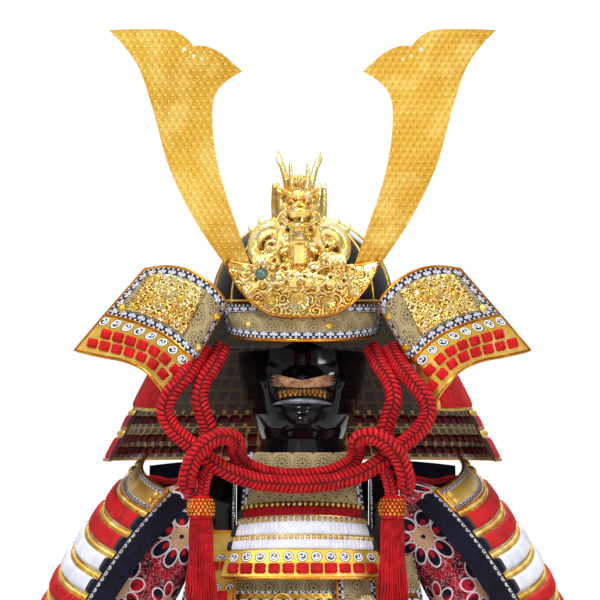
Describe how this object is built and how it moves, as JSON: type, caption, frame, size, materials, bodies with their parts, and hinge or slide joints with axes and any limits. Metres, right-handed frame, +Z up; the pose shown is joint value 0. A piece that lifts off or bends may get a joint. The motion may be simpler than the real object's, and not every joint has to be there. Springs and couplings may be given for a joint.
{
  "type": "samurai armour",
  "caption": "Worn Japanese laced armour: helmet with gold horns and dragon crest, face mask, throat bib, cuirass with skirts, shoulder guards, brocade sleeves and red cords.",
  "frame": {"origin": "midway between the shoulders, at the height where the shoulder straps rest on the wearer", "axes": "+Z up, -Y the way the wearer faces, +X to the wearer's left"},
  "size_m": [0.6474, 0.46, 1.1797],
  "materials": {
    "gilt": "polished gilt",
    "black_lacquer": "gloss lacquer",
    "stencilled_leather": "smoked and stencilled",
    "red_silk": "braided silk",
    "white_silk": "braided silk",
    "brocade": "woven flowers",
    "green_glass": "gloss",
    "bristle": "matt hair"
  },
  "bodies": {
    "root": {"back_lames": "red_silk", "back_plate": "gilt", "bib_lame_1": "red_silk", "bib_lame_2": "white_silk", "bib_lame_3": "white_silk", "bib_lame_4": "gilt", "bib_plate": "stencilled_leather", "body_lame_1": "red_silk", "body_lame_2": "red_silk", "body_lame_3": "red_silk", "body_lame_4": "red_silk", "breast_lames": "red_silk", "breast_plate": "gilt", "chin_cord_lower": "red_silk", "chin_cord_upper": "red_silk", "crest_jewel": "green_glass", "crown_ornament": "gilt", "dragon_crest": "gilt", "face_mask": "black_lacquer", "guard_tie_left": "red_silk", "guard_tie_right": "red_silk", "helmet_bowl": "black_lacquer", "horn_bracket": "gilt", "horn_left": "gilt", "horn_right": "gilt", "laced_chest_guard": "gilt", "leathered_chest_guard": "stencilled_leather", "neck_lame_1": "gilt", "neck_lame_2": "gilt", "neck_lame_3": "gilt", "neck_lame_4": "gilt", "shoulder_guard_left_lame_1": "red_silk", "shoulder_guard_left_lame_2": "red_silk", "shoulder_guard_left_lame_3": "white_silk", "shoulder_guard_left_lame_4": "white_silk", "shoulder_guard_left_lame_5": "red_silk", "shoulder_guard_left_lame_6": "red_silk", "shoulder_guard_left_top_plate": "stencilled_leather", "shoulder_guard_right_lame_1": "red_silk", "shoulder_guard_right_lame_2": "red_silk", "shoulder_guard_right_lame_3": "white_silk", "shoulder_guard_right_lame_4": "white_silk", "shoulder_guard_right_lame_5": "red_silk", "shoulder_guard_right_lame_6": "red_silk", "shoulder_guard_right_top_plate": "stencilled_leather", "shoulder_strap_left": "black_lacquer", "shoulder_strap_right": "black_lacquer", "side_plate": "stencilled_leather", "skirt_back": "red_silk", "skirt_front": "red_silk", "skirt_left": "red_silk", "skirt_right": "red_silk", "sleeve_left": "brocade", "sleeve_right": "brocade", "tassel_left": "red_silk", "tassel_right": "red_silk", "visor": "stencilled_leather", "whiskers": "bristle", "wing_plaque_left": "gilt", "wing_plaque_right": "gilt"}
  },
  "joints": []
}
